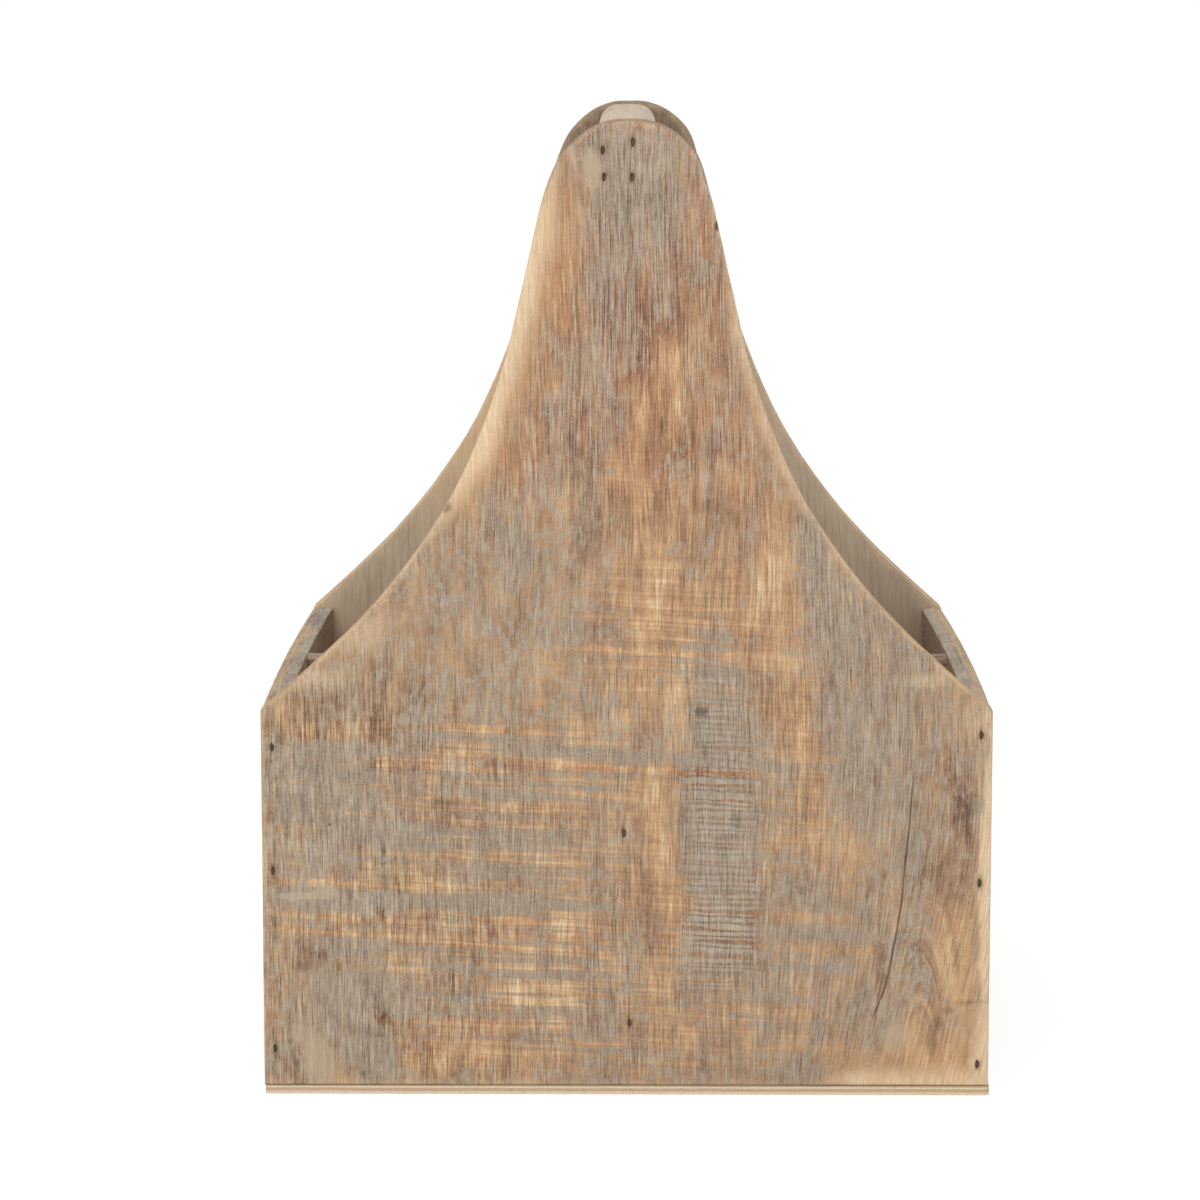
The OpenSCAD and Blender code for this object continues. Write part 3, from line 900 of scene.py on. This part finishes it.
def old_board(name, seed, axis, colours, wear, grey_share=None, side_inner=None):
    """Sawn wood with its grain along one axis, saw marks across it, and greyed pores if it has a grey share.

    wear is how strongly its saw marks, gaps and pale rubbed edges show. side_inner is how far out the inner
    face of a side board is.
    """
    f = Finish(name)
    w = SawnWood(f, seed, axis, wear)
    colour = f.ramp(0.48 + w.relief + 0.14 * w.ring + (0.04 * wear) * w.flake, *colours)
    if grey_share is not None:
        colour = greyed(f, w, colour, grey_share)
    colour = f.mix((0.5 * wear) * w.gap, colour, paint(98, 74, 58))
    if side_inner:
        colour = side_faces(f, w, colour, side_inner)
    square = abs(f.facing[0])
    for part in f.facing[1:]:
        square = f.math("MAXIMUM", square, abs(part))
    worn = f.smooth(square, 0.97, 0.85) * f.smooth(w.patch + w.fibre, -1.0, 0.5)
    colour = f.mix((0.5 * wear) * worn, colour, paint(206, 180, 146))
    f.bump(w.relief - 0.15 * w.gap, 0.3)
    return f.finish(colour, f.smooth(w.relief, -0.3, 0.4, 0.9, 0.7), 0.25)


def plywood(name, seed, low, high):
    """Thin plywood: veneer faces with long grain, three plies round its edges, and a dark seam on top."""
    f = Finish(name)
    fibre = f.noise((0.6, 22, 0.6), seed + 1, detail=2, roughness=0.7)
    figure = f.noise((6, 70, 6), seed + 2, detail=3)
    patch = f.noise((30, 30, 30), seed + 3, detail=4)
    end = f.noise((0.5, 0.5, 0.25), seed + 4, detail=2)
    relief = 0.14 * fibre + 0.12 * figure
    from_middle = abs(f.z - float((low + high) / 2) + 0.1 * patch)
    middle_ply = f.smooth(from_middle, 0.62, 0.45)
    seam = f.smooth(f.z - float(high), -0.5, -0.1)
    side = f.smooth(abs(f.facing[2]), 0.7, 0.3)
    light_ply = f.ramp(0.5 + 0.2 * end + 0.2 * fibre, *LIGHT_PLY)
    layered = f.mix(0.8 * middle_ply, light_ply, f.ramp(0.5 + 0.3 * end, *DARK_PLY))
    layered = f.mix(0.7 * seam, layered, paint(112, 92, 72))
    colour = f.mix(side, f.ramp(0.5 + relief + 0.15 * patch, *VENEER), layered)
    f.bump(relief + 0.15 * end - 0.3 * middle_ply * side, 0.2)
    return f.finish(colour, f.smooth(relief, -0.3, 0.3, 0.82, 0.66), 0.3)


def steel(name):
    """Dark, rusted steel."""
    f = Finish(name)
    rust = f.noise((1.2, 1.2, 1.2), 3, detail=4)
    f.fill(f.shader, {"Metallic": 0.25})
    f.bump(rust, 0.05)
    return f.finish(f.ramp(0.5 + 0.3 * rust, *RUST), 0.7)


# The pieces

def from_front(u, v, w):
    """Where a point of an outline seen from the front is; w is how far back."""
    return Vector((u, w, v)) * MM


def from_above(u, v, w):
    """Where a point of an outline seen from above is; w is how high."""
    return Vector((u, v, w)) * MM


def stand_in(piece, node, material):
    """Gives a piece its material and puts it in the place of a CAD node."""
    piece.data.materials.append(material)
    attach(piece, "root")
    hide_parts(node)


def panel_outline(low, high):
    """The outline of an end board; the rear one has fuller shoulders."""
    half = high[0]
    foot = low[2]
    tall = high[2] - foot
    rear = low[1] > 0
    side = [((share + rear * more) * half, foot + rise * tall) for share, rise, more in BOTTLE_OUTLINE]
    right = [(half, foot + SHOULDER * tall)] + side
    left = [(-x, z) for x, z in right[-2::-1]]
    curve = curve_through(right + left, 12)
    start, end = LEAN_HEIGHTS
    lean = np.clip((curve[:, 1] - foot - start) / (end - start), 0, 1)
    curve[:, 0] += CROWN_LEAN * lean ** 2 * (3 - 2 * lean)
    return divided([(half, foot)] + list(curve) + [(-half, foot)], 4)


def end_panel(node, name, end, seed, marks):
    """One end board with its worn edges; end is front or rear, and names the nails that go into it."""
    low, high = in_mm(node)
    outer, inward = (low[1], 1) if low[1] < 0 else (high[1], -1)

    def arris(u, v):
        crown = max(0, (v - low[2]) / (high[2] - low[2]) - WORN_CROWN) * 8
        worn = 0.25 + 0.5 * rough((u, v, 0), 14, seed) + 0.3 * rough((u, v, 0), 3, seed)
        return worn + crown * rough((u, v, 9), 9)

    def wobble(u, v, w):
        curved = low[2] + RAGGED_FROM < v < high[2] - RAGGED_TO
        ragged = 0.35 * rough((u, v, w), 3.5, seed) if curved else 0.1
        return ragged * rough((u, v, w), 9, seed + 2)

    piece = board(name, panel_outline(low, high), low[1], high[1], from_front, arris, wobble)
    nails = [box for part in ("handle", "side", "divider") for box in solids_of(f"{end}_{part}_nails")]
    cut_slots(piece, nails, 1, outer, inward)
    stand_in(piece, node, reclaimed_panel(name, low, high, seed, nails, marks))


def side_board(node, name, seed):
    """One side board, bowed outward, with a worn top edge."""
    low, high = in_mm(node)
    side = 1 if high[0] > 0 else -1
    inner, outer = (low[0], high[0]) if side > 0 else (high[0], low[0])
    end_face = side * in_mm("front_end_panel")[1][0]
    length = high[1] - low[1]

    def bowed(u, v, w):
        bow = (outer - end_face) * (1 - (2 * u / length) ** 2)
        return Vector((w + bow, u, v)) * MM

    def arris(u, v):
        return 0.3 + (0.2 + 0.6 * rough((u, v, 0), 12, seed) if v > high[2] - 1 else 0)

    outline = divided(rectangle(low[1:], high[1:]), 4)
    piece = board(name, outline, *sorted((inner, end_face)), bowed, arris)
    nails = [box for box in solids_of("cross_divider_nails") if box[0][0] * side > 0]
    cut_slots(piece, nails, 0, outer, -side)
    material = old_board(name, seed, 1, TAN, wear=1.0, grey_share=0.1, side_inner=abs(inner))
    stand_in(piece, node, material)


def build_handle():
    """The bar, with its worn upper edges."""
    low, high = in_mm("handle_bar")
    outline = divided(rounded_rectangle((low[0], low[2]), (high[0], high[2]), BAR_CORNERS), 2)

    def arris(u, v):
        return 0.3

    def wobble(u, v, w):
        return 0.3 * rough((u, v, w), 16, 5)

    piece = board("handle_bar_dressed", outline, low[1], high[1], from_front, arris, wobble, layers=40)
    stand_in(piece, "handle_bar", old_board("handle_wood", 31, 1, SANDED, wear=0.25))


def build_base():
    """The plywood base, with its ragged rim."""
    low, high = in_mm("base_board")
    outline = divided(rounded_rectangle(low[:2], high[:2], (BASE_CORNER,) * 4), 4)

    def arris(u, v):
        return 0.15

    def wobble(u, v, w):
        short = BASE_SHORT * (0.5 - 0.5 * u / high[0])
        return short + 0.45 * rough((u, v, 6 * w), 9, 2) * rough((u, v, w), 3, 4)

    piece = board("base_dressed", outline, low[2], high[2], from_above, arris, wobble, face_step=12)
    cut_slots(piece, solids_of("base_nails"), 2, low[2], 1)
    stand_in(piece, "base_board", plywood("base_plywood", 41, low[2], high[2]))


def dress(node, material):
    """Gives a CAD solid its material."""
    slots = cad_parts[node].data.materials
    slots.clear()
    slots.append(material)


# Stage

def empty_nodes(owner):
    """The nodes of a material or a world, none of them yet."""
    owner.use_nodes = True
    owner.node_tree.nodes.clear()
    return Nodes(owner.node_tree)


def build_stage():
    """A wide matte floor that looks white to the camera."""
    mesh = bpy.data.meshes.new("floor")
    half = FLOOR_SIZE / 2
    corners = [(x, y, 0) for x, y in rectangle((-half, -half), (half, half))]
    mesh.from_pydata(corners, [], [(0, 1, 2, 3)])
    material = bpy.data.materials.new("floor")
    n = empty_nodes(material)
    seen = Signal(n, n.add("LightPath").outputs["Is Camera Ray"])
    matte = n.out("BsdfDiffuse", FLOOR_COLOUR)
    glow = n.out("Emission", WHITE, GLOW_STRENGTH)
    n.add("OutputMaterial", n.out("MixShader", FLOOR_GLOW * seen, matte, glow))
    mesh.materials.append(material)
    in_scene("floor", mesh)


def build_room():
    """An even white room, plain white to the camera and in mirror-like reflections."""
    world = bpy.data.worlds.new("room")
    bpy.context.scene.world = world
    n = empty_nodes(world)
    seen = n.add("LightPath").outputs
    either = n.math("MAXIMUM", Signal(n, seen["Is Camera Ray"]), Signal(n, seen["Is Glossy Ray"]))
    room = n.out("Background", WHITE, ROOM_LIGHT)
    white = n.out("Background", WHITE, 1.0)
    n.add("OutputWorld", n.out("MixShader", either, room, white))


def build_lamp():
    """A soft lamp above the front, turned towards the middle of the carrier."""
    lamp = bpy.data.lights.new("soft lamp", "AREA")
    lamp.shape = "SQUARE"
    lamp.size = LAMP_SIZE
    lamp.energy = LAMP_POWER
    holder = in_scene("soft lamp", lamp)
    holder.location = LAMP_PLACE
    holder.rotation_euler = (Vector(LAMP_AIM) - Vector(LAMP_PLACE)).to_track_quat("-Z", "Y").to_euler()


def build_camera():
    """The camera, where the photograph was taken from."""
    camera = bpy.data.cameras.new("camera")
    camera.lens = CAMERA_LENS
    camera.sensor_width = SENSOR
    camera.sensor_fit = "HORIZONTAL"
    holder = in_scene("camera", camera)
    holder.location = CAMERA_PLACE
    holder.rotation_euler = (math.pi / 2 - CAMERA_DOWN, 0, -CAMERA_TURN)
    bpy.context.scene.camera = holder


build_camera()
build_stage()
build_room()
build_lamp()
end_panel("front_end_panel", "front_panel", "front", 3, FRONT_MARKS)
end_panel("rear_end_panel", "rear_panel", "rear", 11, REAR_MARKS)
side_board("left_side_board", "left_side", 17)
side_board("right_side_board", "right_side", 23)
build_handle()
build_base()
dress("long_divider", old_board("long_divider_wood", 43, 1, DIVIDER_WOOD_AND_SHADE, wear=0.5, grey_share=0.0))
dress("cross_divider", old_board("cross_divider_wood", 47, 0, DIVIDER_WOOD_AND_SHADE, wear=0.5, grey_share=0.0))
rusty = steel("nail_steel")
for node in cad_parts:
    if node.endswith("nails"):
        dress(node, rusty)
bpy.context.scene.view_settings.view_transform = "Standard"
